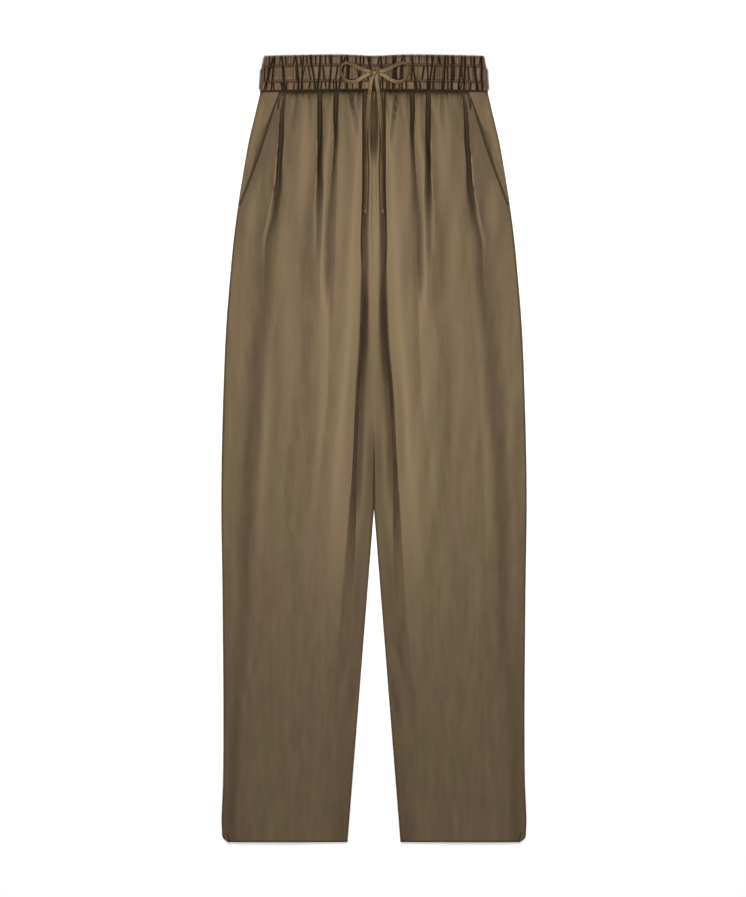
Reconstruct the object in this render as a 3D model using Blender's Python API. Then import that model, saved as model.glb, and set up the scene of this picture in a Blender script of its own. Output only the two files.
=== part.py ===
"""Drawstring trousers laid flat, front up, in metres.

The waist is towards +Y, the hems towards -Y, the front faces +Z and the back lies on Z = 0. The wearer's
left is +X. The origin is at the middle of the garment's outline, on the surface that it lies on. Every
cloth piece is a thin wall between an outer and an inner grid of points, worked out from the sizes below.
"Down" is the distance from the waistband's top edge towards the hems.
"""

import math
from collections import namedtuple

import bmesh
import bpy
import numpy as np

MM = 0.001
SIDES = {"left": 1, "right": -1}

# Lengths down the garment.
LENGTH = 1060 * MM
WAISTBAND_DEPTH = 48.5 * MM
POCKET_END = 217 * MM
FACING_END = 197 * MM
CROTCH = 360 * MM
CROTCH_EASE = 25 * MM
LEGS_PART = 611 * MM
HEM_ALLOWANCE = 25 * MM
HEM_STEP = 2 * MM

# Cloth, layers and seams.
SEAM_GAP = 0.3 * MM
BACK_WALL = 1.2 * MM
FRONT_WALL = 1.6 * MM
GATHERED_WALL = 2.0 * MM
THINNEST_WALL = 1.2 * MM
HEM_EXTRA = 0.5 * MM
SEAM_HEIGHT = BACK_WALL + SEAM_GAP
GATHERED_END = 110 * MM
SEAM_STRIP = 3 * MM
SEAM_LIFT = 0.5 * MM
LEAST_COLUMN = 0.35 * MM

# Half of the gap between the hems, and how round the legs' edges are.
HALF_HEM_GAP = 35.6 * MM
OUTER_ROLL = 7.5 * MM
INNER_ROLL = 6 * MM
SEAM_ROLL = 2.2 * MM
ROLL_STARTS = 480 * MM
ROLL_GROWS = 220 * MM

# The slanted pocket mouth, from the waist seam to the side seam.
MOUTH_AT_WAIST = 127 * MM
MOUTH_BOW = -3 * MM
FACING_UNDERLAP = 10 * MM
FACING_RISE = 4 * MM
FACING_SLACK = 0.2 * MM
FACING_CLEAR = 4 * MM
FACING_SAMPLES = 12

# The waistband: an elastic casing with two sewn lines, gathered all round.
BAND_GATHERS = 36
BAND_SAG = 2.5 * MM
BAND_DIP = 2.2 * MM
DIP_WIDTH = 30 * MM
SAG_FADE = 60 * MM
BAND_BACK_HEIGHT = 3.6 * MM
BAND_INSIDE = BAND_BACK_HEIGHT + SEAM_GAP
BAND_LIFT = 0.5 * MM
BAND_TOP = 9.4 * MM
BAND_ROLL = 5 * MM
BAND_RIM_IN = 1.2 * MM
BAND_RIM_DOWN = 0.8 * MM
BAND_LEAN = 0.9 * MM
BACK_RIM_DOWN = 0.4 * MM
BACK_END_LIFTS = (0.9 * MM, 2.6 * MM)
GATHER_DEPTH = 1.7 * MM

# The drawstring, a flat tape, and its bow knot.
TAPE_WIDTH = 5.4 * MM
TAPE_THICK = 1.8 * MM
KNOT_SIZE = (11 * MM, 9 * MM, 5 * MM)
KNOT_PLACE = (1 * MM, 25 * MM)
TAIL_KNOT_SIZE = (4.6 * MM, 5 * MM, 3.6 * MM)
TAIL_KNOT_LIFT = 0.3 * MM
KNOT_FLAT = 0.36
LAID_GAP = 0.5 * MM

Outline = namedtuple("Outline", "down half_width")
Loft = namedtuple("Loft", "down height")
Band = namedtuple("Band", "down half_width puff gather")
Route = namedtuple("Route", "x down lift")
Fold = namedtuple(
    "Fold",
    "name side x_waist x_pocket x_crotch x_knee x_hem"
    " depth_waist depth_pocket depth_crotch depth_knee depth_hem width_waist width_hem",
)

# The outline below the waistband, in millimetres.
OUTLINE = [
    Outline(48, 152.5),
    Outline(62, 156),
    Outline(89, 162),
    Outline(116, 168.3),
    Outline(142, 173),
    Outline(196, 181.8),
    Outline(250, 188.9),
    Outline(304, 194),
    Outline(357, 198.3),
    Outline(465, 203),
    Outline(590, 205.5),
    Outline(734, 203.8),
    Outline(980, 203.2),
    Outline(1046, 204.6),
    Outline(1053, 204),
    Outline(1057, 201.5),
    Outline(1060, 197),
]

# How high the front lies above the surface between its folds, in millimetres.
LOFT = [
    Loft(48, 7.6),
    Loft(120, 7.2),
    Loft(240, 6.7),
    Loft(400, 6.6),
    Loft(700, 6.4),
    Loft(980, 5.6),
    Loft(1060, 4.4),
]

# The waistband's sections, in millimetres: the casing's three puffs lie between its sewn lines.
BAND = [
    Band(0, 147.6, -2.4, 0.3),
    Band(3.5, 148.9, 0.0, 0.8),
    Band(9.5, 149.3, 0.3, 1.0),
    Band(14.5, 150.2, -0.9, 0.5),
    Band(25, 153.3, 0.6, 1.0),
    Band(35.5, 153.2, -0.9, 0.5),
    Band(42.5, 154.7, 0.2, 1.0),
    Band(48.5, 153.4, -1.6, 0.5),
]

# Where each fold runs and how deep it is, in millimetres from the middle of the garment.
FOLD_DOWN = (55, 210, 357, 680, 1060)
FOLDS = [
    Fold("inner", "left", 11.4, 14.1, 16.8, 25.5, 54.0, 4.6, 5.0, 4.6, 3.2, 2.0, 3.0, 9),
    Fold("tuck", "left", 31.6, 30.0, 31.0, 38.0, 66.0, 2.2, 0.2, 0.0, 0.0, 0.0, 3.0, 9),
    Fold("middle", "left", 51.7, 55.8, 59.8, 72.0, 82.0, 5.2, 2.4, 1.5, 0.3, 0.0, 3.0, 12),
    Fold("gather", "left", 73.2, 75.9, 78.0, 88.0, 92.0, 5.2, 1.3, 0.0, 0.0, 0.0, 2.8, 9),
    Fold("broad", "left", 88.0, 90.4, 94.4, 106.8, 102.8, 1.6, 1.3, 1.7, 1.3, 0.8, 4.0, 14),
    Fold("outer", "left", 118.0, 133.7, 152.5, 172.8, 193.0, 2.2, 4.0, 3.3, 3.2, 2.6, 3.2, 9),
    Fold("inner", "right", 11.4, 14.1, 11.4, 24.9, 58.5, 4.6, 5.0, 3.6, 3.5, 2.6, 3.0, 9),
    Fold("tuck", "right", 31.6, 35.6, 32.0, 40.0, 70.0, 2.0, 0.2, 0.0, 0.0, 0.0, 3.0, 9),
    Fold("middle", "right", 51.7, 54.4, 58.5, 70.0, 84.0, 5.2, 2.4, 1.5, 0.3, 0.0, 3.0, 12),
    Fold("gather", "right", 73.2, 75.9, 78.0, 88.0, 94.0, 5.2, 1.2, 0.0, 0.0, 0.0, 2.8, 9),
    Fold("broad", "right", 88.0, 90.0, 94.7, 106.8, 103.5, 1.6, 1.3, 1.6, 1.4, 0.8, 4.0, 14),
    Fold("outer", "right", 119.0, 132.4, 152.5, 171.4, 192.0, 2.2, 4.2, 3.3, 3.1, 2.6, 3.2, 9),
]
CENTRE_RECESS = 2.6 * MM
RECESS_WIDTH = 9 * MM
RECESS_END = 150 * MM

# The front's and back's rows of points, in millimetres down.
PANEL_ROWS = (
    48.8, 56, 68, 84, 104, 130, 158, 180, 197, 217, 245, 280, 320, 360, 400, 445, 495, 550,
    611, 660, 720, 790, 860, 930, 990, 1035, 1049, 1055, 1060,
)

# The bow's loops and the two tails, in millimetres: x and down, and the lift above what they lie on.
LOOP = [
    Route(6.5, 23.5, 3.2),
    Route(13.5, 22.0, 2.8),
    Route(22, 18.0, 1.2),
    Route(31, 14.0, 0.2),
    Route(38.5, 12.4, 0.0),
    Route(44.0, 15.5, 0.0),
    Route(46.0, 22.0, 0.0),
    Route(44.0, 30.0, 0.0),
    Route(38.5, 36.5, 0.0),
    Route(30.5, 38.5, 0.0),
    Route(22, 35.5, 0.0),
    Route(13.5, 29.5, 0.0),
    Route(6.5, 26.2, 0.3),
]
TAIL = [
    Route(2.8, 31.5, 0.6),
    Route(4.6, 42, 0.2),
    Route(6.6, 58, 0.2),
    Route(8.6, 80, 0.0),
    Route(10.6, 104, 0.0),
    Route(10.4, 130, 0.0),
    Route(10.0, 165, 0.0),
    Route(11.2, 209, 0.0),
]
TAIL_TURNS = ((0, 0.0), (0.35, 0.5), (0.5, 1.15), (0.7, 0.5), (1, 0.75))
TAPE_SIDES = 8
LOOP_POINTS = 30
TAIL_POINTS = 26

CLOTH = "satin_cloth"
TAPE = "satin_tape"
FINISHES = {
    CLOTH: ((0.195, 0.142, 0.088, 1), 0.5),
    TAPE: ((0.215, 0.158, 0.100, 1), 0.5),
}


def clear_scene():
    for item in list(bpy.data.objects):
        bpy.data.objects.remove(item)


def finish(name):
    """The Principled material of that name: brown satin, neither shiny nor metallic."""
    material = bpy.data.materials.get(name)
    if material is None:
        colour, roughness = FINISHES[name]
        material = bpy.data.materials.new(name)
        material.use_nodes = True
        shader = material.node_tree.nodes["Principled BSDF"]
        shader.inputs["Base Color"].default_value = colour
        shader.inputs["Roughness"].default_value = roughness
        shader.inputs["Metallic"].default_value = 0
    return material


def smooth_curve(at, values, where):
    """A smooth curve through the values, with each slope taken from the neighbours on both sides."""
    at = np.asarray(at, float)
    values = np.asarray(values, float)
    where = np.clip(np.asarray(where, float), at[0], at[-1])
    slopes = np.gradient(values, at)
    i = np.clip(np.searchsorted(at, where, side="right") - 1, 0, len(at) - 2)
    span = at[i + 1] - at[i]
    t = (where - at[i]) / span
    return (
        values[i] * (2 * t**3 - 3 * t**2 + 1)
        + values[i + 1] * (3 * t**2 - 2 * t**3)
        + slopes[i] * span * (t**3 - 2 * t**2 + t)
        + slopes[i + 1] * span * (t**3 - t**2)
    )


def column_at(table, column, down):
    """One column of a millimetre table, in metres, at a distance down in metres."""
    at = [row.down * MM for row in table]
    return smooth_curve(at, [getattr(row, column) * MM for row in table], down)


def ease(value):
    """0 below 0, 1 above 1 and smooth between."""
    value = np.clip(value, 0, 1)
    return value * value * (3 - 2 * value)


def half_width(down):
    return column_at(OUTLINE, "half_width", down)


def inner_edge(down):
    """Where a leg's inner edge is: at the middle seam, then apart below LEGS_PART."""
    share = np.clip((down - LEGS_PART) / (LENGTH - LEGS_PART), 0, 1)
    return SEAM_GAP / 2 + (HALF_HEM_GAP - SEAM_GAP / 2) * share


def mouth(down):
    """The pocket mouth's line, slightly bowed towards the middle."""
    share = np.clip((down - WAISTBAND_DEPTH) / (POCKET_END - WAISTBAND_DEPTH), 0, 1)
    straight = MOUTH_AT_WAIST + (half_width(POCKET_END) - MOUTH_AT_WAIST) * share
    return straight + MOUTH_BOW * np.sin(math.pi * share)


def front_edge(down):
    """The front panel's outer edge: the pocket mouth, then the side seam."""
    return np.where(down < POCKET_END, np.minimum(mouth(down), half_width(down)), half_width(down))


def sag(x, down):
    """How far the waistband and waist seam hang below a straight line: at the sides, and the top edge's middle.

    What the top edge's highest points would sag is taken off, so that they stay on the line.
    """
    edge = half_width(WAISTBAND_DEPTH)
    fade = 1 - ease((down - WAISTBAND_DEPTH) / SAG_FADE)
    at_top = np.clip(1 - down / WAISTBAND_DEPTH, 0, 1)
    across = np.linspace(0, edge, 200)
    highest = (BAND_SAG * (across / edge) ** 2 + BAND_DIP * np.exp(-((across / DIP_WIDTH) ** 2))).min()
    return (BAND_SAG * (x / edge) ** 2 - highest) * fade + BAND_DIP * np.exp(-((x / DIP_WIDTH) ** 2)) * at_top


def place(x, down, z):
    """Points in the garment's frame, from x, down and z arrays of one shape."""
    return np.stack([x, LENGTH / 2 - down - sag(x, down), z], axis=-1)


def fold_track(fold, down):
    x = [fold.x_waist, fold.x_pocket, fold.x_crotch, fold.x_knee, fold.x_hem]
    return smooth_curve(np.array(FOLD_DOWN) * MM, np.array(x) * MM, down)


def fold_depth(fold, down):
    depth = [fold.depth_waist, fold.depth_pocket, fold.depth_crotch, fold.depth_knee, fold.depth_hem]
    return np.interp(down, np.array(FOLD_DOWN) * MM, np.array(depth) * MM)


def fold_width(fold, down):
    return np.interp(down, (FOLD_DOWN[0] * MM, LENGTH), (fold.width_waist * MM, fold.width_hem * MM))


def folds_of(side):
    return [fold for fold in FOLDS if fold.side == side]


def crown(x, down, side):
    """The front's height with its folds: each is a trough with a narrow floor and long round shoulders."""
    height = column_at(LOFT, "height", down)
    for fold in folds_of(side):
        off = (x - fold_track(fold, down)) / fold_width(fold, down)
        height = height - fold_depth(fold, down) * np.exp(1 - np.sqrt(off * off + 1))
    recess = CENTRE_RECESS * (1 - ease((down - WAISTBAND_DEPTH) / (RECESS_END - WAISTBAND_DEPTH)))
    height = height - recess * np.exp(-((x / RECESS_WIDTH) ** 2))
    return np.maximum(height, SEAM_HEIGHT + THINNEST_WALL)


def inner_roll(down):
    """How far the leg's inner edge rounds: hardly where the legs touch, more where they part."""
    return SEAM_ROLL + (INNER_ROLL - SEAM_ROLL) * ease((down - ROLL_STARTS) / ROLL_GROWS)


def skin(x, down, side, inset):
    """The front's height at x, inset from its outside. The sides fall to the seam as a quarter ellipse.

    Above the crotch the panel ends plainly at the middle seam, so nothing falls there.
    """
    height = crown(x, down, side) - inset
    outer = half_width(down) - inset
    roll = OUTER_ROLL - inset
    fall = np.sqrt(1 - np.clip((x - outer + roll) / roll, 0, 1) ** 2)
    legs = ease((down - CROTCH) / CROTCH_EASE)
    inner = inner_edge(down) + inset * legs
    roll = inner_roll(down) - inset
    drop = np.sqrt(1 - np.clip((inner + roll - x) / roll, 0, 1) ** 2)
    fall = fall * (1 - legs * (1 - drop))
    return SEAM_HEIGHT + (height - SEAM_HEIGHT) * fall


def wall_at(down):
    """The wall's thickness: gathered under the waistband, double in the hem."""
    gathered = 1 - ease((down - WAISTBAND_DEPTH) / GATHERED_END)
    hem = ease((down - (LENGTH - HEM_ALLOWANCE)) / HEM_STEP)
    return FRONT_WALL + (GATHERED_WALL - FRONT_WALL) * gathered + HEM_EXTRA * hem


def solid(name, outer, inner, material, parent):
    """A closed wall between two grids. The inner grid has the same columns, and as many rows or only two."""
    rows, columns = outer.shape[:2]
    below = inner.shape[0]
    points = np.concatenate([outer.reshape(-1, 3), inner.reshape(-1, 3)])
    first = rows * columns
    faces = []
    for r in range(rows - 1):
        for c in range(columns - 1):
            a = r * columns + c
            faces.append((a, a + columns, a + columns + 1, a + 1))
    for r in range(below - 1):
        for c in range(columns - 1):
            a = first + r * columns + c
            faces.append((a, a + 1, a + columns + 1, a + columns))
    last = (rows - 1) * columns
    last_below = first + (below - 1) * columns
    for c in range(columns - 1):
        faces.append((c, c + 1, first + c + 1, first + c))
        faces.append((last + c + 1, last + c, last_below + c, last_below + c + 1))
    for c in (0, columns - 1):
        upper = [r * columns + c for r in range(rows)]
        lower = [first + r * columns + c for r in range(below)]
        if rows == below:
            for r in range(rows - 1):
                faces.append((upper[r], lower[r], lower[r + 1], upper[r + 1]))
        else:
            faces.append((*upper, *reversed(lower)))
    mesh = bpy.data.meshes.new(name)
    mesh.from_pydata([tuple(p) for p in points], [], faces)
    work = bmesh.new()
    work.from_mesh(mesh)
    bmesh.ops.recalc_face_normals(work, faces=work.faces)
    work.to_mesh(mesh)
    work.free()
    mesh.shade_smooth()
    return add_object(name, mesh, material, parent)


def add_object(name, data, material, parent):
    item = bpy.data.objects.new(name, data)
    item.data.materials.append(finish(material))
    item.parent = parent
    bpy.context.scene.collection.objects.link(item)
    return item


def panel_columns(side, down):
    """The x of each column of points at each row: the two edges, each fold's floor and shoulders, and the crests."""
    inner = inner_edge(down)
    edge = front_edge(down)
    marks = [inner + inner_roll(down) * (1 - s) for s in (1, 0.8, 0)]
    folds = sorted(folds_of(side), key=lambda fold: fold.x_waist)
    shoulder = None
    for fold in folds:
        floor = fold_track(fold, down)
        reach = fold_width(fold, down) * 1.1
        if shoulder is not None:
            marks.append((shoulder + floor - reach) / 2)
        marks += [floor - reach, floor, floor + reach]
        shoulder = floor + reach
    roll = np.minimum(OUTER_ROLL, 0.8 * np.maximum(edge - shoulder, 0.6 * MM))
    marks.append((shoulder + edge - roll) / 2)
    marks += [edge - roll * (1 - s) for s in (0, 0.57, 0.9, 1)]
    columns = np.stack(marks, axis=1)
    return in_order(columns, edge)


def in_order(columns, edge):
    """The columns again, each a little past the one before it and none past the edge."""
    for c in range(1, columns.shape[1]):
        columns[:, c] = np.maximum(columns[:, c], columns[:, c - 1] + LEAST_COLUMN)
    columns[:, -1] = edge
    for c in range(columns.shape[1] - 2, -1, -1):
        columns[:, c] = np.minimum(columns[:, c], columns[:, c + 1] - LEAST_COLUMN)
    return columns


def squeezed(x, down, inset):
    """x moved off the garment's two edges by the wall's thickness, most at the edge and not at all inside the roll."""
    outer = half_width(down)
    start = outer - OUTER_ROLL
    x = np.where(x > start, start + (x - start) * (OUTER_ROLL - inset) / OUTER_ROLL, x)
    legs = ease((down - CROTCH) / CROTCH_EASE)
    roll = inner_roll(down)
    start = inner_edge(down) + roll
    return np.where(x < start, start - (start - x) * (roll - inset * legs) / roll, x)


def front_panel(side, parent):
    """A front leg panel, from the waist seam to the hem, with its folds and its slanted pocket edge."""
    down = np.array(PANEL_ROWS) * MM
    x = panel_columns(side, down)
    down = np.repeat(down[:, None], x.shape[1], axis=1)
    inset = wall_at(down)
    outer = skin(x, down, side, 0)
    under_x = squeezed(x, down, inset)
    inner = np.maximum(skin(under_x, down, side, inset), SEAM_HEIGHT)
    sign = SIDES[side]
    solid(f"front_{side}", place(sign * x, down, outer), place(sign * under_x, down, inner), CLOTH, parent)


def back_panel(side, parent):
    """A back leg panel, flat where it lies and lifted a little along its seams."""
    down = np.array(PANEL_ROWS) * MM
    inner = inner_edge(down)
    outer = half_width(down)
    marks = [inner, inner + SEAM_STRIP, (inner + outer) / 2, outer - SEAM_STRIP, outer]
    x = np.stack(marks, axis=1)
    down = np.repeat(down[:, None], x.shape[1], axis=1)
    lift = np.zeros_like(x)
    lift[:, -1] = SEAM_LIFT
    lift[:, 0] = SEAM_LIFT * ease((down[:, 0] - CROTCH) / CROTCH_EASE)
    top = np.full_like(x, BACK_WALL)
    sign = SIDES[side]
    solid(f"back_{side}", place(sign * x, down, top), place(sign * x, down, lift), CLOTH, parent)


def pocket_facing(side, parent):
    """The hip piece behind the pocket mouth: under the front panel, then level with it out to the side seam."""
    down = np.array([row * MM for row in PANEL_ROWS if row * MM <= FACING_END])
    line = mouth(down)
    edge = half_width(down)
    free = edge - line - SEAM_GAP
    rise = np.minimum(FACING_RISE, 0.6 * free)
    start = line + SEAM_GAP + rise
    buried = [line - FACING_UNDERLAP, line - FACING_UNDERLAP / 2, line, line + SEAM_GAP]
    level = [start + (edge - start) * share for share in (0, 0.4, 0.72, 0.93, 1)]
    x = np.stack(buried + level, axis=1)
    steps = np.linspace(-SEAM_GAP, FACING_UNDERLAP + FACING_CLEAR, FACING_SAMPLES)
    over = line[:, None] - steps[None, :]
    lowest = skin(over, np.repeat(down[:, None], FACING_SAMPLES, axis=1), side, 0).min(axis=1)
    low = lowest - wall_at(down) - SEAM_GAP - FACING_SLACK
    down = np.repeat(down[:, None], x.shape[1], axis=1)
    under_x = squeezed(x, down, FRONT_WALL)
    outer = skin(x, down, side, 0)
    inner = np.maximum(skin(under_x, down, side, FRONT_WALL), SEAM_HEIGHT)
    number = len(buried)
    outer[:, :number] = np.maximum(low, SEAM_HEIGHT + THINNEST_WALL)[:, None]
    inner[:, :number] = outer[:, :number] - THINNEST_WALL
    under_x[:, :number] = x[:, :number]
    sign = SIDES[side]
    top = place(sign * x, down, outer)
    solid(f"pocket_facing_{side}", top, place(sign * under_x, down, inner), CLOTH, parent)


def gather_marks(per_gather):
    """Shares from 0 to 1 across the waistband, uneven as gathers are, and each share's height from 0 to 1."""
    number = np.arange(BAND_GATHERS)
    pitch = 1 + 0.3 * np.sin(2.4 * number) + 0.14 * np.sin(1.1 * number + 2)
    starts = np.concatenate([[0], np.cumsum(pitch)]) / pitch.sum()
    shares, heights = [], []
    steps = {3: ((0, 0), (0.3, 1), (0.72, 0.9)), 2: ((0, 0), (0.5, 1))}[per_gather]
    for k in range(BAND_GATHERS):
        for step, height in steps:
            shares.append(starts[k] + (starts[k + 1] - starts[k]) * step)
            heights.append(height)
    return np.array([*shares, 1]), np.array([*heights, 0])


def band_grid(per_gather):
    """x, down, puff and gather height at each point of a waistband half, with the round ends left out."""
    share, crest = gather_marks(per_gather)
    down = np.array([row.down for row in BAND]) * MM
    width = np.array([row.half_width for row in BAND]) * MM
    puff = np.array([row.puff for row in BAND]) * MM
    gather = np.array([row.gather for row in BAND]) * GATHER_DEPTH
    across = 2 * share - 1
    lean = BAND_LEAN * np.sin(9 * np.linspace(0, 1, len(down)))
    x = across[None, :] * (width - BAND_ROLL)[:, None] + lean[:, None] * (1 - across[None, :] ** 2)
    height = puff[:, None] - gather[:, None] * (1 - crest[None, :])
    return x, np.repeat(down[:, None], x.shape[1], axis=1), height, width


def waistband_front(parent):
    """The front half of the elastic casing: three gathered puffs over a plain inside, round at both side seams."""
    x, down, height, width = band_grid(3)
    z = BAND_TOP + height
    turn = np.array([0.55, 0.88, 1])
    ends_x = (width - BAND_ROLL)[:, None] + BAND_ROLL * turn[None, :]
    fall = np.sqrt(1 - turn**2)
    left = BAND_INSIDE + (z[:, :1] - BAND_INSIDE) * fall[None, ::-1]
    right = BAND_INSIDE + (z[:, -1:] - BAND_INSIDE) * fall[None, :]
    x = np.concatenate([-ends_x[:, ::-1], x, ends_x], axis=1)
    z = np.concatenate([left, z, right], axis=1)
    down = np.repeat(down[:, :1], x.shape[1], axis=1)
    rim = (0, -1)
    inside_x = x[rim, :] * (1 - BAND_RIM_IN / width[0])
    inside = BAND_INSIDE + BAND_LIFT * (1 - (np.abs(x[rim, :]) / width[0]).clip(0, 1) ** 8)
    inside_down = np.stack([down[0] + BAND_RIM_DOWN, down[-1]])
    solid("waistband_front", place(x, down, z), place(inside_x, inside_down, inside), CLOTH, parent)


def waistband_back(parent):
    """The back half, which lies on its gathers, with the same plain inside."""
    x, down, height, width = band_grid(2)
    z = np.maximum(-height * 0.8 - 0.5 * MM, 0)
    ends_x = (width - BAND_ROLL)[:, None] + BAND_ROLL * np.array([0.6, 1])[None, :]
    lift = np.array(BACK_END_LIFTS)
    x = np.concatenate([-ends_x[:, ::-1], x, ends_x], axis=1)
    ends = np.repeat(lift[None, :], len(width), axis=0)
    z = np.concatenate([ends[:, ::-1], z, ends], axis=1)
    down = np.repeat(down[:, :1], x.shape[1], axis=1)
    rim = (0, -1)
    inside = np.full((2, x.shape[1]), BAND_BACK_HEIGHT)
    inside_down = np.stack([down[0] + BACK_RIM_DOWN, down[-1]])
    solid("waistband_back", place(x, down, z), place(x[rim, :], inside_down, inside), CLOTH, parent)


def top_at(x, down, reach):
    """The highest front surface near a point, with the waistband's gathers taken as full, for what lies on it."""
    best = -1.0
    for step in np.linspace(-reach, reach, 5):
        for shift in np.linspace(-reach, reach, 3):
            at = float(np.clip(down + shift, 0, LENGTH))
            if at <= WAISTBAND_DEPTH + SEAM_GAP:
                puff = float(smooth_curve([row.down * MM for row in BAND], [row.puff * MM for row in BAND], at))
                best = max(best, BAND_TOP + puff)
            else:
                across = abs(x + step)
                side = "left" if x + step > 0 else "right"
                best = max(best, float(skin(max(across, 0.2 * MM), at, side, 0)))
    return best


def route_points(route, sign, tilts):
    """Points evenly spread along a smooth curve through the route, lying on the garment at their lift.

    There is a point for each tilt, and a tape that is turned on its edge lies higher.
    """
    steps = np.arange(len(route))
    x = sign * smooth_curve(steps, [p.x * MM for p in route], np.linspace(0, len(route) - 1, 400))
    down = smooth_curve(steps, [p.down * MM for p in route], np.linspace(0, len(route) - 1, 400))
    lift = smooth_curve(steps, [p.lift * MM for p in route], np.linspace(0, len(route) - 1, 400))
    along = np.concatenate([[0], np.cumsum(np.hypot(np.diff(x), np.diff(down)))])
    even = np.linspace(0, along[-1], len(tilts))
    x, down, lift = (np.interp(even, along, values) for values in (x, down, lift))
    rest = np.array([top_at(a, b, TAPE_WIDTH / 2) for a, b in zip(x, down)])
    z = rest + LAID_GAP + np.hypot(TAPE_WIDTH / 2 * np.sin(tilts), TAPE_THICK / 2 * np.cos(tilts)) + lift
    for _ in range(3):
        z = np.maximum(z, np.convolve(np.pad(z, 1, mode="edge"), (0.25, 0.5, 0.25), "valid"))
    return place(x, down, z)


def tape_profile():
    """The tape's section, a flat oval, as a guide for the curves' bevel."""
    guide = bpy.data.curves.new("tape_profile", "CURVE")
    guide.dimensions = "2D"
    spline = guide.splines.new("POLY")
    spline.points.add(TAPE_SIDES - 1)
    for k in range(TAPE_SIDES):
        turn = -2 * math.pi * (k + 0.5) / TAPE_SIDES
        spline.points[k].co = (TAPE_WIDTH / 2 * math.cos(turn), TAPE_THICK / 2 * math.sin(turn), 0, 1)
    spline.use_cyclic_u = True
    item = bpy.data.objects.new("tape_profile", guide)
    item.hide_render = True
    item.display_type = "WIRE"
    bpy.context.scene.collection.objects.link(item)
    return item


def tape(name, points, tilts, profile, parent):
    """A stretch of the drawstring: the profile carried along the points, turned by each tilt."""
    curve = bpy.data.curves.new(name, "CURVE")
    curve.dimensions = "3D"
    curve.twist_mode = "Z_UP"
    curve.bevel_mode = "OBJECT"
    curve.bevel_object = profile
    curve.use_fill_caps = True
    spline = curve.splines.new("POLY")
    spline.points.add(len(points) - 1)
    for point, where, tilt in zip(spline.points, points, tilts):
        point.co = (*where, 1)
        point.tilt = tilt
    add_object(name, curve, TAPE, parent)


def lump(name, centre, size, parent):
    """A small round knot: a sphere drawn out to its three sizes, with its underside pressed flat."""
    work = bmesh.new()
    bmesh.ops.create_uvsphere(work, u_segments=12, v_segments=8, radius=0.5)
    for vertex in work.verts:
        vertex.co.x *= size[0]
        vertex.co.y *= size[1]
        vertex.co.z = max(vertex.co.z, -KNOT_FLAT) * size[2]
    mesh = bpy.data.meshes.new(name)
    work.to_mesh(mesh)
    work.free()
    mesh.shade_smooth()
    item = add_object(name, mesh, TAPE, parent)
    item.location = centre


def drawstring(parent):
    """The bow on the waistband's middle: its knot, two loops, and two tails down the front, each with an end knot."""
    profile = tape_profile()
    x, down = KNOT_PLACE
    on_band = BAND_TOP + BAND[4].puff * MM
    knot = place(np.array(x), np.array(down), np.array(on_band + SEAM_GAP + KNOT_FLAT * KNOT_SIZE[2]))
    lump("drawstring_knot", knot, KNOT_SIZE, parent)
    turns = np.interp(np.linspace(0, 1, TAIL_POINTS), *zip(*TAIL_TURNS))
    flat = np.zeros(LOOP_POINTS)
    for side, sign in SIDES.items():
        route = [Route(p.x + sign * x / MM, p.down, p.lift) for p in LOOP]
        tape(f"drawstring_loop_{side}", route_points(route, sign, flat), flat, profile, parent)
        tail = route_points(TAIL, sign, turns)
        tape(f"drawstring_tail_{side}", tail, sign * turns, profile, parent)
        end = tail[-1] + np.array([0, -TAIL_KNOT_SIZE[1] / 2 - SEAM_GAP, TAIL_KNOT_LIFT])
        lump(f"tail_knot_{side}", end, TAIL_KNOT_SIZE, parent)


def build():
    clear_scene()
    root = bpy.data.objects.new("trousers", None)
    bpy.context.scene.collection.objects.link(root)
    for side in SIDES:
        back_panel(side, root)
        front_panel(side, root)
        pocket_facing(side, root)
    waistband_back(root)
    waistband_front(root)
    drawstring(root)


build()
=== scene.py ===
"""The looks of the drawstring trousers: brown satin laid flat, a gathered waistband and a tied drawstring.

Lengths are in metres and angles in radians. "down" is the distance from the waistband's top edge towards the
hems, x grows towards the wearer's left, and z is the height above the floor that the garment lies on. Tables
are in millimetres. The main sizes and the drawstring's routes follow the part's own source.
"""

import math
from collections import namedtuple

import bmesh
import bpy
import numpy as np
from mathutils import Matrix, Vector


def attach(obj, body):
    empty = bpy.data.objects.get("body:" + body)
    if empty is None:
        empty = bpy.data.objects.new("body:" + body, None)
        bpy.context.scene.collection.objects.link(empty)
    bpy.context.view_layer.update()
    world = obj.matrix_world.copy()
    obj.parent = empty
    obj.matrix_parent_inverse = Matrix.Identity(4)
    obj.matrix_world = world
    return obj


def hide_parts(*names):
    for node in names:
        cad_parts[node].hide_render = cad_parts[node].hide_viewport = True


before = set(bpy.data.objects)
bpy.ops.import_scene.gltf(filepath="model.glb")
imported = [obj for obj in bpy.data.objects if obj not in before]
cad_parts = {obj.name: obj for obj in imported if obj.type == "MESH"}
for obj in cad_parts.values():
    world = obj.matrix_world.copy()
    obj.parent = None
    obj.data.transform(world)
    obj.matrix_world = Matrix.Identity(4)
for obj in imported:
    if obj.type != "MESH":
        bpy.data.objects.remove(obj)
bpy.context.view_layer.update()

MM = 0.001
SIDES = {"left": 1, "right": -1}

# The picture: its size, where the garment's top and middle are in it, and how many metres a pixel covers.
PICTURE_WIDTH = 746
PICTURE_HEIGHT = 897
TOP_EDGE_PIXEL = 54.0
MIDDLE_PIXEL = 374.0
CAMERA_HEIGHT = 4.0

# The garment's driving sizes.
LENGTH = 1060 * MM
WAIST = 48.5 * MM
POCKET_END = 217 * MM
FACING_END = 203 * MM
LEGS_PART = 611 * MM
LEGS_SHOW_APART = 500 * MM
HALF_HEM_GAP = 35.6 * MM
PIXEL = LENGTH / 788.5

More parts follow.
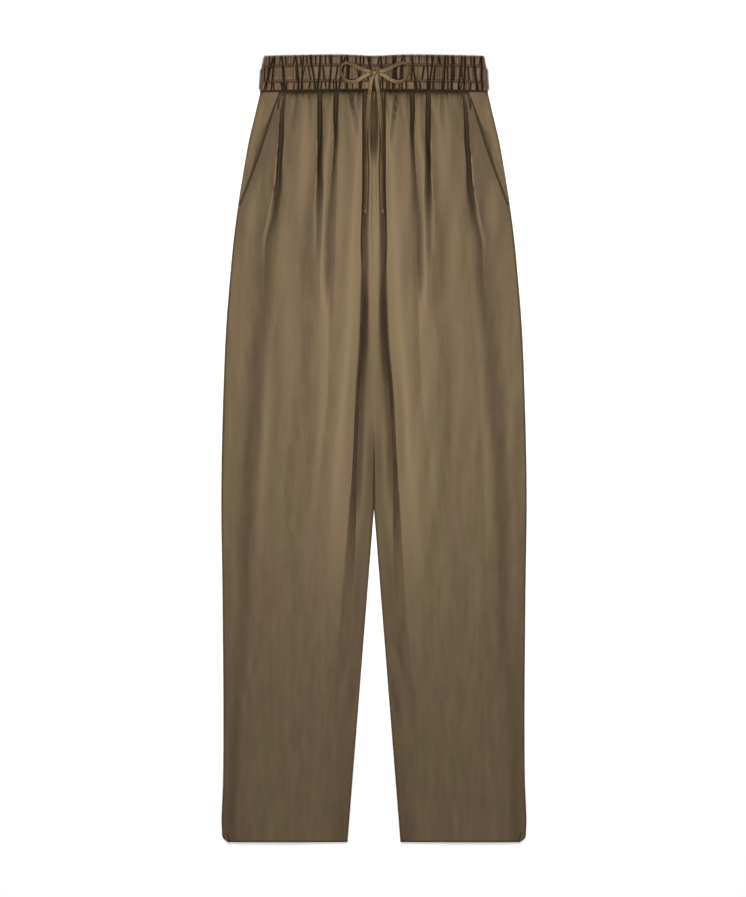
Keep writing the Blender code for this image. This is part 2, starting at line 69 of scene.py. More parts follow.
# Cloth.
CLOTH_THICK = 0.8 * MM
SEAM_HEIGHT = 1.7 * MM
LOWEST_FRONT = 2.6 * MM
EDGE_HEIGHT = 3.2 * MM
OUTER_ROLL = 3.4 * MM
INNER_ROLL = 7 * MM
MOUTH_AT_WAIST = 127 * MM
MOUTH_BOW = -3 * MM
MOUTH_ROLL = 2 * MM
PLAIN_ROLL = 3 * MM
FACING_UNDER = 9 * MM
FACING_DIP = 7 * MM
SEAM_GAP = 0.05 * MM
# How much lower the front is at the waist seam, as shares of its height, and how far down each share reaches.
TUCKS = ((0.2, 6 * MM), (0.5, 1.8 * MM))

# Waistband.
BAND_TOP = 13.4 * MM
BAND_INSIDE = 4.1 * MM
BAND_ROLL = 7 * MM
BAND_SAG = 2.5 * MM
BAND_DIP = 2.2 * MM
DIP_WIDTH = 30 * MM
SAG_FADE = 60 * MM
SEWN_LINES = (14.5 * MM, 35.5 * MM)
SEWN_DIP = 1.9 * MM
SEWN_WIDTH = 1.5 * MM
TOP_ROLL = 4.5 * MM
BOTTOM_ROLL = 1.8 * MM
RIM_TUCK = 0.7 * MM
LOWEST_TILT = 0.05
DEEPEST_GATHER = 8.0 * MM
GATHERED_HALF = 151 * MM
FRONT_SEED = 3
BACK_SEED = 8
BACK_BAND_DROP = 0.3 * MM

# Drawstring.
TAPE_WIDTH = 5.4 * MM
TAPE_THICK = 1.3 * MM
KNOT_PLACE = (1 * MM, 25 * MM)
TAPE_REST = 0.2 * MM

Outline = namedtuple("Outline", "down half_width")
Route = namedtuple("Route", "x down lift")
Station = namedtuple("Station", "down x depth left right")
Section = namedtuple(
    "Section", "down middle bed inner lip ridge shoulder second swell pinch plain broad brow outer toe hip",
)
Crease = namedtuple("Crease", "down depth flank")
PaintedShadeStrip = namedtuple("PaintedShadeStrip", "down outer inner fold")
Gathers = namedtuple("Gathers", "number zone least most narrow wide")
Fan = namedtuple("Fan", "number least most near distant")
Strand = namedtuple("Strand", "start end height")


def table(row, values):
    """The values as rows with named columns. A dictionary's tables are made one by one."""
    if isinstance(values, dict):
        return {name: table(row, each) for name, each in values.items()}
    return [row(*each) for each in values]


OUTLINE = table(Outline, [
    (0, 147.6), (3.5, 148.9), (9.5, 149.3), (14.5, 150.2), (19, 153), (25, 153.4), (31, 153.6),
    (35.5, 153), (39, 154.5), (43, 154.7), (48.5, 153), (62, 156), (89, 162), (116, 168.3), (142, 173),
    (196, 181.8), (250, 188.9), (304, 194), (357, 198.3), (465, 203), (590, 205.5), (734, 203.8),
    (980, 203.2), (1046, 204.6), (1053, 204), (1057, 201.5), (1060, 197),
])
# The front's broad form, the same on both sides, as tracks that run down each leg: valleys ("inner",
# "second", "pinch" and "outer") and ridges. PLACES gives each track's distance from the middle, and HEIGHTS
# its height.
PLACES = table(Section, [
    (50, 0, 7, 13, 16, 20, 40, 51, 56, 73, 84, 97, 116, 120, 133, 145),
    (80, 0, 7, 13, 16, 20, 42, 52, 58, 73, 85, 98, 116, 124, 134, 147),
    (110, 0, 7, 13, 16, 22, 41, 52, 60, 73, 85, 100, 118, 125, 133, 153),
    (145, 0, 7, 13, 16, 24, 41, 54, 66, 74, 86, 104, 120, 128, 141, 158),
    (180, 0, 8, 14, 16, 25, 42, 55, 67, 74, 88, 108, 122, 130, 145, 166),
    (215, 0, 9, 15, 17, 27, 43, 57, 68, 76, 92, 114, 127, 136, 146, 172),
    (250, 0, 9, 15, 18, 29, 44, 58, 69, 77, 96, 122, 136, 145, 154, 174),
    (300, 0, 8, 13, 17, 30, 46, 59, 71, 78, 97, 128, 139, 147, 155, 177),
    (345, 0, 8, 13, 18, 33, 47, 60, 73, 79, 100, 130, 143, 151, 159, 180),
    (390, 0, 8, 15, 20, 37, 48, 61, 77, 85, 103, 134, 148, 156, 164, 183),
    (450, 0, 12, 20, 25, 40, 52, 63, 77, 84, 107, 138, 152, 160, 168, 185),
    (550, 0, 15, 24, 30, 47, 62, 73, 81, 88, 109, 144, 161, 169, 177, 191),
    (670, 0, 17, 26, 38, 57, 76, 87, 94, 101, 115, 148, 165, 173, 181, 193),
    (815, 0, 23, 36, 50, 70, 86, 97, 106, 113, 124, 152, 169, 177, 185, 197),
    (1060, 0, 54, 81, 89, 101, 121, 132, 140, 146, 151, 167, 184, 192, 198, 201),
])
HEIGHTS = table(Section, [
    (50, 3, 6.8, 3, 8.5, 8.8, 7.2, 6.2, 6.7, 6.2, 5.8, 6, 5.3, 4.9, 4.2, 4),
    (80, 3, 7, 3, 8.9, 9.2, 7.7, 6.8, 7.5, 7, 6.5, 6.8, 6, 5.7, 4.6, 3.9),
    (110, 3.2, 7, 3, 9, 9.3, 8, 7.3, 8.4, 7.9, 7.3, 7.5, 6.9, 6.6, 5.8, 4.6),
    (145, 6.8, 7, 3, 8.9, 9.3, 8.4, 7.7, 9.3, 8.9, 7.9, 7.8, 7.3, 7, 6, 4.7),
    (180, 7.6, 7.4, 3, 8.9, 9.4, 8.8, 8, 9.7, 9.3, 7.8, 7.4, 6.9, 6.3, 4.7, 4.1),
    (215, 7.8, 7.4, 3.2, 9, 9.5, 9.1, 8.3, 10.1, 9.7, 7.7, 7.1, 6.5, 5.4, 4.1, 3.7),
    (250, 7.8, 7.4, 4.2, 8.9, 9.5, 9, 8.2, 10.1, 9.6, 7.5, 6.8, 6.2, 4.9, 3.7, 3.2),
    (300, 8.1, 7.8, 6.2, 8.7, 9.4, 8.9, 8.1, 9.8, 9.4, 7.4, 6.5, 6, 4.7, 3.5, 3.1),
    (345, 8, 7.6, 5.4, 8.7, 9.5, 9.1, 8.4, 8.4, 8.1, 6.8, 6.1, 5.7, 4.5, 3.4, 3.1),
    (390, 7.8, 7.4, 4.6, 8.9, 9.9, 9.6, 8.8, 8.3, 8, 6.7, 6, 5.6, 4.4, 3.3, 3.1),
    (450, 7, 6.4, 4.6, 8.8, 10.1, 9.9, 9.2, 8.8, 8.5, 6.8, 6.1, 5.7, 4.5, 3.4, 3.2),
    (550, 3.8, 6, 4.2, 8.6, 10.1, 9.8, 9.3, 9.1, 8.7, 7, 6.1, 5.7, 4.6, 3.5, 3.3),
    (670, 3.2, 3.6, 5, 8.7, 9.7, 9.2, 8.7, 8.5, 8.2, 7.4, 6.5, 6, 4.7, 3.5, 3.4),
    (815, 3.2, 3.4, 4.9, 7.8, 8.4, 8, 7.6, 7.5, 7.3, 7.1, 6.4, 5.8, 4.8, 3.8, 3.6),
    (1060, 4.5, 4.6, 5.2, 5.7, 6, 6, 5.9, 6, 5.9, 5.8, 5.7, 5.3, 4.5, 3.9, 3.6),
])
TRACKS = Section._fields[1:]
CREASED = ("middle", "inner", "lip", "second", "pinch", "outer")
# How many columns of the front's mesh lie between each two tracks, and last beside the side seam.
COLUMNS = (9, 9, 9, 8, 16, 14, 10, 14, 14, 16, 16, 12, 14, 14, 12)

# The folds pinched in along four of the tracks: how deep each is, and how wide its inner flank is. Its outer
# flank is steep, LEAST_FLANK and OUTER_FLANK of the depth wide, and wider down the leg by SOFT_FLANK.
OUTER_FLANK = 0.36
LEAST_FLANK = 0.6 * MM
SOFT_FLANK = 5 * MM
SOFTENS_FROM = 135 * MM
SOFTENS_OVER = 90 * MM
CREASES = table(Crease, {
    "outer": [
        (48, 0.6, 2), (62, 3.6, 2.6), (80, 6.4, 3.4), (108, 7.2, 4), (142, 6.6, 4.8), (172, 4.6, 6),
        (208, 2.4, 8), (260, 0.8, 10), (330, 0, 10),
    ],
    "pinch": [
        (48, 5.6, 3.4), (75, 8, 3.8), (120, 6.6, 4.4), (150, 4.8, 5.2), (180, 3, 6.4), (215, 1.4, 8),
        (280, 0, 9),
    ],
    "second": [
        (48, 6, 3.6), (62, 8, 3.8), (85, 6.2, 3.8), (109, 3.4, 4), (150, 1.4, 4.5), (210, 0.8, 6),
        (300, 0.5, 7), (360, 0.2, 7), (440, 0, 7),
    ],
    "inner": [
        (48, 0, 3), (280, 0, 3), (330, 1.6, 5), (392, 1.7, 6), (440, 1, 7), (549, 0.6, 7), (640, 0.3, 7),
        (720, 0, 7),
    ],
})
# No fold lowers the front below this height.
DEEPEST = 2.8 * MM
# How much painted shade darkens the cloth and makes it matt, as a share of 1, in strips along its outer seam,
# inner leg seam and outer fold.
PAINTED_SHADE_STRIPS = table(PaintedShadeStrip, [
    (48, 0, 0, 0), (240, 0, 0, 0), (300, 0, 0.06, 0.16), (400, 0, 0.2, 0.17), (550, 0, 0.22, 0.18),
    (680, 0.04, 0.26, 0.24), (760, 0.1, 0.24, 0.2), (900, 0.28, 0.2, 0.05), (1060, 0.34, 0.32, 0),
])
# The least light left by painted shade, which also makes the cloth matt: on the cloth's unseen inside and
# along the waistband's lower rim.
LEAST_PAINTED_LIGHT = 0.15
# The small gathers under the waistband: how many, their least and most depth, and how far down they reach.
WAIST_FANS = table(Fan, [(46, 1.4, 3, 3, 7), (16, 0.5, 1.5, 12, 34)])
# The waistband's grooves: how many cross all of it or lie in one puff, their depths, and their half widths.
BAND_GATHERS = table(Gathers, [
    (24, None, 4.5, 8.5, 0.8, 1.5), (34, (0, SEWN_LINES[0]), 2.5, 6.5, 0.8, 1.2),
    (24, SEWN_LINES, 2, 6, 0.8, 1.4), (38, (SEWN_LINES[1], WAIST), 3, 7, 0.7, 1.2),
])
# Short folds apart from the tracks: where each runs, how deep it is, and how wide to its left and right.
FOLDS = table(Station, {
    "dart_right": [(48, -127, 3.2, 2.4, 2.4), (62, -128.5, 3, 2.2, 2.2), (76, -130, 0, 2, 2)],
    "dart_left": [(48, 128, 3.2, 2.4, 2.4), (62, 129, 3, 2.2, 2.2), (76, 131, 0, 2, 2)],
    "tuck_right": [
        (48, -31.5, 2, 3.4, 3.4), (68, -29.5, 1.8, 3.4, 3.4), (85, -26, 0.9, 4, 4), (110, -23, 0, 5, 5),
    ],
    "tuck_left": [
        (48, 31.5, 2, 3.4, 3.4), (75, 28.6, 1.6, 3.4, 3.4), (100, 25.5, 0.7, 4, 4), (130, 24, 0, 5, 5),
    ],
    "knee_left": [(770, 22, 0, 6, 10), (800, 30, 0.5, 7, 12), (835, 40, 0.5, 8, 14), (880, 52, 0, 6, 12)],
    "knee_right": [
        (775, -26, 0, 10, 6), (805, -32, 0.4, 12, 7), (840, -43, 0.4, 14, 8), (880, -53, 0, 12, 6),
    ],
    "dent_left": [(835, 23, 0, 3, 6), (868, 27, 0.8, 5, 8), (915, 36, 0, 5, 9)],
    "dent_right": [(830, -23, 0, 6, 3), (860, -26, 0.7, 8, 5), (905, -33, 0, 9, 5)],
})

# The bow's loops and the tails, as in the part's source: x and down, and the lift above what they lie on.
LOOP = table(Route, [
    (6.5, 23.5, 2.2), (13.5, 22, 1.8), (22, 18, 0.8), (31, 14, 0.2), (38.5, 12.4, 0), (44, 15.5, 0),
    (46, 22, 0), (44, 30, 0), (38.5, 36.5, 0), (30.5, 38.5, 0), (22, 35.5, 0), (13.5, 29.5, 0.2),
    (6.5, 26.2, 0.8),
])
TAIL = table(Route, [
    (2.8, 31.5, 0.6), (4.6, 42, 0.2), (6.6, 58, 0.2), (8.6, 80, 0), (10.6, 104, 0), (10.4, 130, 0),
    (10, 165, 0), (11.2, 209, 0),
])
# The strands' roots under the knot's wrap: each one's start and end from the knot's middle, and its rise.
STRANDS = table(Strand, [
    ((-7.2, 1.6), (1.5, -1.8), 2.6), ((7.4, 1.4), (-1.2, -1.6), 2),
    ((-7.2, -1.4), (2.2, 1.2), 1.2), ((7.2, -1.6), (-2.4, 1.4), 1.4),
    ((-2.9, -7.2), (0.4, 1), 1.6), ((3.1, -7.2), (0.6, 1.2), 0.9),
])


def linear(code):
    """The sRGB hex colour as linear red, green, blue and full alpha."""
    parts = np.array([int(code[i : i + 2], 16) for i in (1, 3, 5)]) / 255
    return (*np.where(parts <= 0.04045, parts / 12.92, ((parts + 0.055) / 1.055) ** 2.4), 1.0)


def add(tree, kind, inputs=None, **settings):
    """Adds a node, sets its properties, and gives each named or numbered input a value or a link."""
    made = tree.nodes.new(kind)
    for key, value in settings.items():
        setattr(made, key, value)
    for key, value in (inputs or {}).items():
        if isinstance(value, bpy.types.NodeSocket):
            tree.links.new(value, made.inputs[key])
        else:
            made.inputs[key].default_value = value
    return made


def new_material(name):
    """A material, its nodes and its shader."""
    material = bpy.data.materials.new(name)
    material.use_nodes = True
    return material, material.node_tree, material.node_tree.nodes["Principled BSDF"]


def stretched_noise(tree, place, sizes, detail):
    """Noise whose features have the given real sizes along x, y and z, in metres."""
    scale = tuple(1 / size for size in sizes)
    spread = add(tree, "ShaderNodeMapping", {"Vector": place, "Scale": scale})
    noise = add(tree, "ShaderNodeTexNoise", {"Vector": spread.outputs[0], "Scale": 1.0, "Detail": detail})
    return noise.outputs["Fac"]


def viscose_satin(name, taupe, olive, roughness, source="Object"):
    """Viscose satin, piece dyed brown.

    Long warp floats make it smooth, with a soft wide gleam along each fold. Dye and ironing leave it a little
    olive in some places and taupe in others, and thicker yarns show as faint streaks down the warp, drawn 8
    mm wide because one yarn is too fine to show. So are the real floats, 0.2 mm apart, and the weave is drawn
    1.1 mm apart. Shade is painted into its colour deep in folds and gathers, under the waistband's edge,
    beside the seams and pocket mouths and at the hem, and the cloth is made matt there as well: the mesh's
    painted light attribute is 1 where no shade is painted and 0 where the most is.
    """
    material, tree, shader = new_material(name)
    place = add(tree, "ShaderNodeTexCoord").outputs[source]
    patches = stretched_noise(tree, place, (0.055, 0.16, 0.055), 3.0)
    share = add(tree, "ShaderNodeMapRange", {"Value": patches, "From Min": 0.34, "From Max": 0.66})
    colour = add(
        tree, "ShaderNodeMix",
        {"Factor": share.outputs[0], "A": linear(taupe), "B": linear(olive)}, data_type="RGBA",
    )
    streaks = stretched_noise(tree, place, (0.008, 0.045, 0.008), 8.0)
    tone = add(tree, "ShaderNodeMapRange", {"Value": streaks, "To Min": 0.35, "To Max": 1.65}).outputs[0]
    gleam = add(tree, "ShaderNodeMapRange", {
        "Value": streaks, "To Min": roughness - 0.07, "To Max": roughness + 0.07,
    }).outputs[0]
    # Painted shade: where the mesh's attribute is low, the colour is darkened and the cloth is also made
    # matt.
    painted_light_and_gloss = add(tree, "ShaderNodeAttribute", attribute_name="painted_light_and_gloss").outputs["Fac"]
    shade = add(tree, "ShaderNodeMapRange", {"Value": painted_light_and_gloss, "To Min": 0.1, "To Max": 1.0}).outputs[0]
    tone = add(tree, "ShaderNodeMath", {0: tone, 1: shade}, operation="MULTIPLY").outputs[0]
    matt = add(tree, "ShaderNodeMapRange", {"Value": painted_light_and_gloss, "To Min": 0.5, "To Max": 0.0}).outputs[0]
    rough = add(tree, "ShaderNodeMath", {0: gleam, 1: matt}, operation="ADD").outputs[0]
    final = add(
        tree, "ShaderNodeVectorMath", {0: colour.outputs["Result"], "Scale": tone}, operation="SCALE",
    )
    weave = stretched_noise(tree, place, (0.0011, 0.007, 0.0011), 1.0)
    bump = add(tree, "ShaderNodeBump", {"Height": weave, "Strength": 0.3, "Distance": 0.0002})
    tree.links.new(final.outputs[0], shader.inputs["Base Color"])
    tree.links.new(rough, shader.inputs["Roughness"])
    tree.links.new(bump.outputs[0], shader.inputs["Normal"])
    shader.inputs["Specular Tint"].default_value = linear("#ffe5b8")
    return material


def sewing_thread(name, colour):
    """Spun polyester thread: matt, with a fine twist that shows as bands across each stitch."""
    material, tree, shader = new_material(name)
    place = add(tree, "ShaderNodeTexCoord").outputs["Object"]
    twist = stretched_noise(tree, place, (0.0009, 0.0009, 0.0009), 1.0)
    tone = add(tree, "ShaderNodeMapRange", {"Value": twist, "To Min": 0.75, "To Max": 1.2})
    final = add(
        tree, "ShaderNodeVectorMath", {0: linear(colour)[:3], "Scale": tone.outputs[0]}, operation="SCALE",
    )
    tree.links.new(final.outputs[0], shader.inputs["Base Color"])
    shader.inputs["Roughness"].default_value = 0.75
    return material


def studio_paper(name):
    """Matt white studio paper, with a faint unevenness."""
    material, tree, shader = new_material(name)
    place = add(tree, "ShaderNodeTexCoord").outputs["Object"]
    tone = add(tree, "ShaderNodeMapRange", {
        "Value": stretched_noise(tree, place, (0.4, 0.4, 0.4), 2.0), "To Min": 0.93, "To Max": 0.96,
    })
    white = add(tree, "ShaderNodeCombineColor", {0: tone.outputs[0], 1: tone.outputs[0], 2: tone.outputs[0]})
    tree.links.new(white.outputs[0], shader.inputs["Base Color"])
    shader.inputs["Roughness"].default_value = 0.95
    return material


def smooth_curve(at, values, where):
    """A smooth curve through the values, with each slope taken from the neighbours on both sides."""
    at = np.asarray(at, float)
    values = np.asarray(values, float)
    where = np.clip(np.asarray(where, float), at[0], at[-1])
    slopes = np.gradient(values, at)
    i = np.clip(np.searchsorted(at, where, side="right") - 1, 0, len(at) - 2)
    span = at[i + 1] - at[i]
    t = (where - at[i]) / span
    return (
        values[i] * (2 * t**3 - 3 * t**2 + 1)
        + values[i + 1] * (3 * t**2 - 2 * t**3)
        + slopes[i] * span * (t**3 - 2 * t**2 + t)
        + slopes[i + 1] * span * (t**3 - t**2)
    )


def column_at(table, column, down):
    """One column of a millimetre table, in metres, at a distance down in metres."""
    at = [row.down * MM for row in table]
    return smooth_curve(at, [getattr(row, column) * MM for row in table], down)


def ease(value):
    """0 below 0, 1 above 1 and smooth between."""
    value = np.clip(value, 0, 1)
    return value * value * (3 - 2 * value)


def half_width(down):
    """Half the garment's width at each distance down."""
    return column_at(OUTLINE, "half_width", down)


def inner_edge(down):
    """Where a leg's inner edge is: in the middle, then apart below LEGS_PART."""
    return HALF_HEM_GAP * np.clip((down - LEGS_PART) / (LENGTH - LEGS_PART), 0, 1)


def mouth(down):
    """The pocket mouth's line from the waist seam to the side seam, slightly bowed."""
    share = np.clip((down - WAIST) / (POCKET_END - WAIST), 0, 1)
    straight = MOUTH_AT_WAIST + (half_width(POCKET_END) - MOUTH_AT_WAIST) * share
    return straight + MOUTH_BOW * np.sin(math.pi * share)


def sag(x, down):
    """How far the waistband hangs below a straight line: at both sides, and in its top edge's middle."""
    edge = half_width(WAIST)
    fade = 1 - ease((down - WAIST) / SAG_FADE)
    at_top = np.clip(1 - down / WAIST, 0, 1)
    across = np.linspace(0, edge, 200)
    highest = (BAND_SAG * (across / edge) ** 2 + BAND_DIP * np.exp(-((across / DIP_WIDTH) ** 2))).min()
    dip = BAND_DIP * np.exp(-((x / DIP_WIDTH) ** 2)) * at_top
    return (BAND_SAG * (x / edge) ** 2 - highest) * fade + dip


def place(x, down, z):
    """Points in the garment's frame, from x, down and z arrays of one shape."""
    return np.stack([x, LENGTH / 2 - down - sag(x, down), z], axis=-1)


def groove(off):
    """1 on a fold's floor, falling to 0 at a distance of 1 on both sides as (1 - |off|)^1.4."""
    return np.clip(1 - np.abs(off), 0, 1) ** 1.4


def tracks_at(x, down):
    """Each track's place and height at each point, and last the side's.

    The places drift a little, in one way on the left and in another on the right.
    """
    edge = half_width(down)
    sway = np.where(x < 0, np.sin(down * 9), np.sin(down * 11 + 2))
    drift = 1.1 * MM * ease(down / (300 * MM) - 0.5) * sway
    lines = []
    for name in TRACKS:
        line = column_at(PLACES, name, down)
        lines.append(line + drift * ease(line / (25 * MM)) * ease((edge - line) / (15 * MM)))
    heights = [column_at(HEIGHTS, name, down) for name in TRACKS]
    return [*lines, edge], [*heights, np.full_like(edge, EDGE_HEIGHT)]


def roof(x, down):
    """The cloth's broad form: at each distance down, a cubic from each track to the next.

    Its slope at a smooth track is the mean of both sides' slopes. At a creased one each side has its own.
    """
    across = np.abs(x)
    lines, heights = tracks_at(x, down)
    for k in range(1, len(lines)):
        lines[k] = np.maximum(np.minimum(lines[k], lines[-1]), lines[k - 1] + 0.1 * MM)
    spans = [far - near for near, far in zip(lines, lines[1:])]
    slopes = [(high - low) / span for low, high, span in zip(heights, heights[1:], spans)]
    height = np.zeros_like(x)
    creased = [*(name in CREASED for name in TRACKS), True]
    for k, span in enumerate(spans):
        first = last = slopes[k]
        if not creased[k]:
            first = (slopes[k - 1] * span + slopes[k] * spans[k - 1]) / (span + spans[k - 1])
        if not creased[k + 1]:
            last = (slopes[k + 1] * span + slopes[k] * spans[k + 1]) / (span + spans[k + 1])
        t = np.clip((across - lines[k]) / span, 0, 1)
        curve = heights[k] + (heights[k + 1] - heights[k]) * (3 - 2 * t) * t * t
        curve += span * (first * t * (1 - t) ** 2 - last * t * t * (1 - t))
        height = np.where((across >= lines[k]) & (across <= lines[k + 1]), curve, height)
    return height


def creases(x, down):
    """How far the front is pinched in along the creased tracks."""
    total = np.zeros_like(x)
    lines = tracks_at(x, down)[0]
    for name, rows in CREASES.items():
        line = lines[TRACKS.index(name)]
        depth = np.maximum(column_at(rows, "depth", down), 0)
        far = OUTER_FLANK * depth + LEAST_FLANK + SOFT_FLANK * ease((down - SOFTENS_FROM) / SOFTENS_OVER)
        flank = np.where(np.abs(x) < line, column_at(rows, "flank", down), far)
        total = np.maximum(total, depth * groove((np.abs(x) - line) / flank))
    return total


def main_folds(x, down):
    """How far the short folds lower the front: the sum over FOLDS of depth times a groove round each."""
    total = np.zeros_like(x)
    for rows in FOLDS.values():
        inside = (down >= rows[0].down * MM) & (down <= rows[-1].down * MM)
        depth = np.maximum(column_at(rows, "depth", down), 0) * inside
        off = x - column_at(rows, "x", down)
        width = np.where(off < 0, column_at(rows, "left", down), column_at(rows, "right", down))
        total += depth * groove(off / width)
    return total


def waist_gathers(x, down):
    """Small gathers that fan out from under the waistband: grooves whose depth fades down the cloth.

    Most end within a centimetre and a few reach further. Each has its own place, depth, length and lean.
    """
    draw = np.random.default_rng(11)
    total = np.zeros_like(x)
    fan = 1 + 0.16 * ease((down - WAIST) / (160 * MM))
    for number, least, most, near, distant in WAIST_FANS:
        starts = np.cumsum(draw.uniform(0.55, 1.45, number))
        starts = (starts / starts[-1] * 2 - 1) * 150 * MM
        for start in starts:
            depth = draw.uniform(least, most) * MM
            reach = draw.uniform(near, distant) * MM
            width = draw.uniform(1.8, 3.0) * MM
            lean = draw.uniform(-0.2, 0.2)
            off = x - start * fan - lean * (down - WAIST)
            spread = width * (1 + (down - WAIST) / (30 * MM))
            total += depth * np.exp(-(down - WAIST) / reach) * groove(off / spread)
    return total


def crumple(x, down):
    """Low uneven ripples left by handling: a sum of long sine waves with drawn lengths, leans and phases."""
    draw = np.random.default_rng(5)
    total = np.zeros_like(x)
    for _ in range(12):
        across = draw.uniform(22, 70) * MM
        along = draw.uniform(260, 700) * MM * draw.choice((-1, 1))
        height = draw.uniform(0.02, 0.08) * MM
        wave = np.sin(2 * math.pi * (x / across + down / along) + draw.uniform(0, 6.28))
        patch = 0.5 + 0.5 * np.sin(2 * math.pi * down / draw.uniform(0.2, 0.6) + draw.uniform(0, 6.28))
        total += height * wave * patch
    return total


def pinched(x, down):
    """How far folds and gathers lower the front in all, before it stops at the cloth below."""
    return creases(x, down) + main_folds(x, down) + waist_gathers(x, down)


def painted_light_and_gloss_at(x, down):
    """The light left by painted shade, from 1 to 0, with the gloss following it: less in folds, under the
    waistband, by seams and at the hem.
    """
    value = np.exp(-pinched(x, down) / (3.2 * MM))
    # Painted shadow under the waistband's edge, a painted dark line at the hem, then painted shade in strips
    # by the seams and along the outer fold.
    value *= 1 - 0.95 * np.exp(-(((down - WAIST) / (2.8 * MM)) ** 2))
    value *= 1 - 0.85 * np.exp(-(((LENGTH - down) / (1.1 * MM)) ** 2))
    outer = (half_width(down) - np.abs(x) - 12 * MM) / (10 * MM)
    inner = (np.abs(x) - inner_edge(down) - 8 * MM) / (13 * MM)
    fold = (np.abs(x) - tracks_at(x, down)[0][TRACKS.index("outer")]) / (6 * MM)
    for name, off in (("outer", outer), ("inner", inner), ("fold", fold)):
        value *= 1 - column_at(PAINTED_SHADE_STRIPS, name, down) / MM * np.exp(-(off**2))
    return value


def crown(x, down):
    """The front's height before its edges: the broad form, tucked in at the waistband, less the folds.

    It bends smoothly into LOWEST_FRONT, by the formula log(1 + exp(h / soft)) * soft.
    """
    past = np.maximum(down - WAIST, 0)
    tucked = 1 - sum(share * np.exp(-past / reach) for share, reach in TUCKS)
    height = roof(x, down) * tucked + crumple(x, down)
    height = height - np.minimum(pinched(x, down), np.maximum(height - DEEPEST, 0))
    soft = 0.2 * MM
    return LOWEST_FRONT + np.log1p(np.exp((height - LOWEST_FRONT) / soft)) * soft


def fall(reach):
    """A quarter ellipse: 1 at the start of an edge's roll and 0 at the edge."""
    return np.sqrt(1 - np.clip(reach, 0, 1) ** 2)


def skin(x, down, inset=0.0):
    """The front's height above the floor. Its sides fall to the side seam and its inner edges to the inseam.

    x is signed. inset moves the surface in by a wall's thickness.
    """
    across = np.abs(x)
    height = crown(x, down) - inset
    outer = half_width(down) - inset
    roll = OUTER_ROLL - inset
    side = fall((across - outer + roll) / roll)
    legs = ease((down - LEGS_SHOW_APART) / (LEGS_PART - LEGS_SHOW_APART))
    width = 1 * MM + (INNER_ROLL - 1 * MM) * ease((down - LEGS_SHOW_APART) / (260 * MM))
    inner = inner_edge(down) + inset * legs
    drop = fall((inner + width - inset - across) / (width - inset * 0.9))
    return SEAM_HEIGHT + (height - SEAM_HEIGHT) * side * (1 - legs * (1 - drop))


def in_scene(name, data):
    """A new object in the scene."""
    item = bpy.data.objects.new(name, data)
    bpy.context.scene.collection.objects.link(item)
    return item


def make_object(name, points, faces, material, sharp=80, uv=None, painted_light_and_gloss=None):
    """A mesh object at the origin, with its faces pointing outwards and its round parts shaded smooth.

    The last argument is the light left by painted shade at each of the first points, which also sets their
    gloss: the others are its unseen inside, given the least.
    """
    mesh = bpy.data.meshes.new(name)
    mesh.from_pydata(points.reshape(-1, 3), [], faces)
    values = np.full(len(mesh.vertices), 1.0 if painted_light_and_gloss is None else LEAST_PAINTED_LIGHT, np.float32)
    if painted_light_and_gloss is not None:
        values[: painted_light_and_gloss.size] = painted_light_and_gloss.ravel()
    mesh.attributes.new("painted_light_and_gloss", "FLOAT", "POINT").data.foreach_set("value", values)
    if uv is not None:
        corners = np.empty(len(mesh.loops), np.int32)
        mesh.loops.foreach_get("vertex_index", corners)
        mesh.uv_layers.new(name="cloth").data.foreach_set("uv", uv.reshape(-1, 2)[corners].ravel())
    work = bmesh.new()
    work.from_mesh(mesh)
    bmesh.ops.recalc_face_normals(work, faces=work.faces)
    work.to_mesh(mesh)
    work.free()
    mesh.shade_smooth()
    mesh.set_sharp_from_angle(angle=math.radians(sharp))
    mesh.materials.append(material)
    return in_scene(name, mesh)


def grid_faces(rows, columns, first=0):
    """The four corners of each cell of a grid of points."""
    index = first + np.arange(rows * columns).reshape(rows, columns)
    corners = [index[:-1, :-1], index[1:, :-1], index[1:, 1:], index[:-1, 1:]]
    return np.stack(corners, axis=-1).reshape(-1, 4)


def shell(name, outer, inner, kept, material, sharp=80, painted_light_and_gloss=None):
    """A closed wall. The inner grid has the outer one's columns, and only its rows numbered in kept."""
    rows, columns = outer.shape[:2]
    below = len(kept)
    first = rows * columns
    faces = grid_faces(rows, columns).tolist()
    faces += grid_faces(below, columns, first)[:, ::-1].tolist()
    c = np.arange(columns - 1)
    for upper, lower in ((0, first), ((rows - 1) * columns, first + (below - 1) * columns)):
        faces += np.stack([upper + c, upper + c + 1, lower + c + 1, lower + c], axis=1).tolist()
    for column in (0, columns - 1):
        for k in range(below - 1):
            upper = [r * columns + column for r in range(kept[k], kept[k + 1] + 1)]
            lower = [first + k * columns + column, first + (k + 1) * columns + column]
            faces.append([*upper, *reversed(lower)])
    points = np.concatenate([outer.reshape(-1, 3), inner.reshape(-1, 3)])
    return make_object(name, points, faces, material, sharp, painted_light_and_gloss=painted_light_and_gloss)


def kept_rows(rows, step):
    """Every step-th row's number, and the last one's."""
    return [*range(0, rows - 1, step), rows - 1]


def spread_columns(inner, outer, inner_roll, outer_roll, stops, counts):
    """Columns of x at each row: close together round both edges' rolls, and so many between each two stops.

    A stop that another row's edge leaves no room for is moved in beside it.
    """
    turn = np.linspace(0, math.pi / 2, 9)
    start = inner + inner_roll
    end = outer - outer_roll
    room = 0.3 * MM
    stops = [start, *stops, end]
    last = len(stops) - 1
    for k in range(1, last):
        stops[k] = np.minimum(np.maximum(stops[k], stops[k - 1] + room), end - room * (last - k))
    columns = [inner[:, None] + inner_roll[:, None] * (1 - np.cos(turn))[None, :-1]]
    for near, far, count in zip(stops, stops[1:], counts):
        share = np.arange(count) / count
        share = share - 0.07 * np.sin(2 * math.pi * share)
        columns.append(near[:, None] + (far - near)[:, None] * share[None, :])
    columns.append(outer[:, None] - outer_roll[:, None] * np.cos(turn)[None, :])
    return np.concatenate(columns, axis=1)


def on_grid(down, x):
    """down repeated across the columns of x."""
    return np.repeat(down[:, None], x.shape[1], axis=1)


